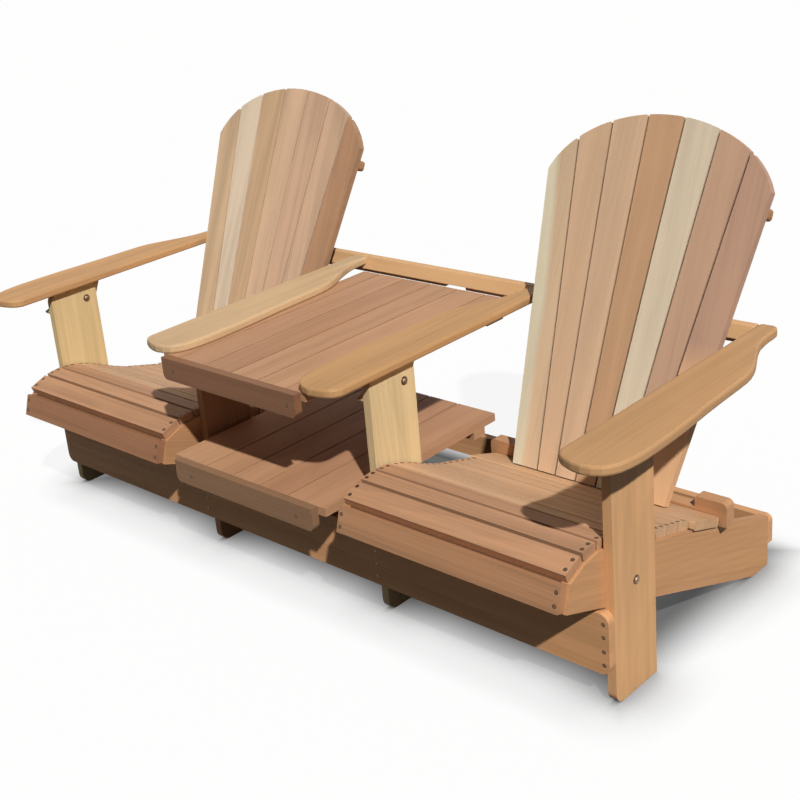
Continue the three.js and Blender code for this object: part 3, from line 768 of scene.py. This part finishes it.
def floor_material():
    """A pale floor that keeps a soft shadow and throws little light back up."""
    tree = Tree("floor")
    nodes_of = tree.tree.nodes
    links = tree.tree.links
    nodes_of.remove(tree.shader)
    dim = tree.add("ShaderNodeBsdfDiffuse")
    dim.inputs["Color"].default_value = (FLOOR_BOUNCE, FLOOR_BOUNCE, FLOOR_BOUNCE, 1)
    pale = tree.add("ShaderNodeBsdfDiffuse")
    pale.inputs["Color"].default_value = (FLOOR_PALE, FLOOR_PALE, FLOOR_PALE, 1)
    white = tree.add("ShaderNodeEmission")
    white.inputs["Color"].default_value = WHITE
    # Painted shade: the white glow dims under and near the loveseat, by ambient occlusion and by a fixed mask of
    # the floor's place
    near = tree.add("ShaderNodeAmbientOcclusion", samples=8)
    near.inputs["Distance"].default_value = FLOOR_CONTACT
    parts = tree.add("ShaderNodeSeparateXYZ")
    links.new(tree.add("ShaderNodeTexCoord").outputs["Object"], parts.inputs[0])
    side = tree.maths("ABSOLUTE", parts.outputs["X"], 0)
    front = tree.maths("MULTIPLY", parts.outputs["Y"], -1)
    clear = tree.soft(side, *SHADE_SIDE)
    clear = tree.maths("MAXIMUM", clear, tree.soft(front, *SHADE_FRONT))
    clear = tree.maths("MAXIMUM", clear, tree.soft(parts.outputs["Y"], *SHADE_BACK))
    clear = tree.spread(clear, 0, 1, SHADE_LEAST, 1)
    links.new(tree.maths("MULTIPLY", near.outputs["AO"], clear), white.inputs["Strength"])
    shown = tree.add("ShaderNodeMixShader")
    shown.inputs["Fac"].default_value = FLOOR_GLOW
    links.new(pale.outputs[0], shown.inputs[1])
    links.new(white.outputs[0], shown.inputs[2])
    mix = tree.add("ShaderNodeMixShader")
    links.new(seen_by_camera(tree.tree), mix.inputs["Fac"])
    links.new(dim.outputs[0], mix.inputs[1])
    links.new(shown.outputs[0], mix.inputs[2])
    out = next(node for node in nodes_of if node.type == "OUTPUT_MATERIAL")
    links.new(mix.outputs[0], out.inputs["Surface"])
    return tree.material


def make_floor():
    mesh = bpy.data.meshes.new("floor")
    corners = [(x * FLOOR_HALF, y * FLOOR_HALF, 0) for x, y in ((-1, -1), (1, -1), (1, 1), (-1, 1))]
    mesh.from_pydata(corners, [], [(0, 1, 2, 3)])
    floor = bpy.data.objects.new("floor", mesh)
    floor.location.z = cad_low.z - FLOOR_DROP
    bpy.context.scene.collection.objects.link(floor)
    mesh.materials.append(floor_material())


def make_light():
    data = bpy.data.lights.new("sun", "SUN")
    data.energy = SUN_STRENGTH
    data.angle = math.radians(SUN_SPREAD)
    data.color = SUN_COLOUR
    sun = bpy.data.objects.new("sun", data)
    turn, height = math.radians(SUN_TURN), math.radians(SUN_HEIGHT)
    level = Vector((math.sin(turn), -math.cos(turn), 0))
    towards = level * math.cos(height) + ALONG_Z * math.sin(height)
    sun.rotation_euler = towards.to_track_quat("Z", "Y").to_euler()
    bpy.context.scene.collection.objects.link(sun)

    world = bpy.data.worlds.new("sky")
    bpy.context.scene.world = world
    world.use_nodes = True
    tree = world.node_tree
    tree.nodes.clear()
    out = tree.nodes.new("ShaderNodeOutputWorld")
    lit = tree.nodes.new("ShaderNodeBackground")
    lit.inputs["Color"].default_value = SKY_COLOUR
    where = tree.nodes.new("ShaderNodeTexCoord")
    parts = tree.nodes.new("ShaderNodeSeparateXYZ")
    tree.links.new(where.outputs["Generated"], parts.inputs[0])
    rise = tree.nodes.new("ShaderNodeMapRange")
    tree.links.new(parts.outputs["Z"], rise.inputs["Value"])
    rise.inputs["From Min"].default_value = 0
    rise.inputs["From Max"].default_value = 1
    rise.inputs["To Min"].default_value = SKY_LOW
    rise.inputs["To Max"].default_value = SKY_HIGH
    tree.links.new(rise.outputs["Result"], lit.inputs["Strength"])
    seen = tree.nodes.new("ShaderNodeBackground")
    seen.inputs["Color"].default_value = WHITE
    seen.inputs["Strength"].default_value = 1
    mix = tree.nodes.new("ShaderNodeMixShader")
    tree.links.new(seen_by_camera(tree), mix.inputs["Fac"])
    tree.links.new(lit.outputs[0], mix.inputs[1])
    tree.links.new(seen.outputs[0], mix.inputs[2])
    tree.links.new(mix.outputs[0], out.inputs["Surface"])


def set_view():
    bpy.context.scene.view_settings.view_transform = "Standard"


make_camera()
set_view()
make_floor()
make_light()
dress_nodes()
add_arm_rail()
add_nose_battens()
METAL = steel("steel", *STEEL_TONES)
DARK_METAL = steel("dark_steel", *DARK_STEEL_TONES)
HOLE = hole("screw_hole")
add_fasteners()
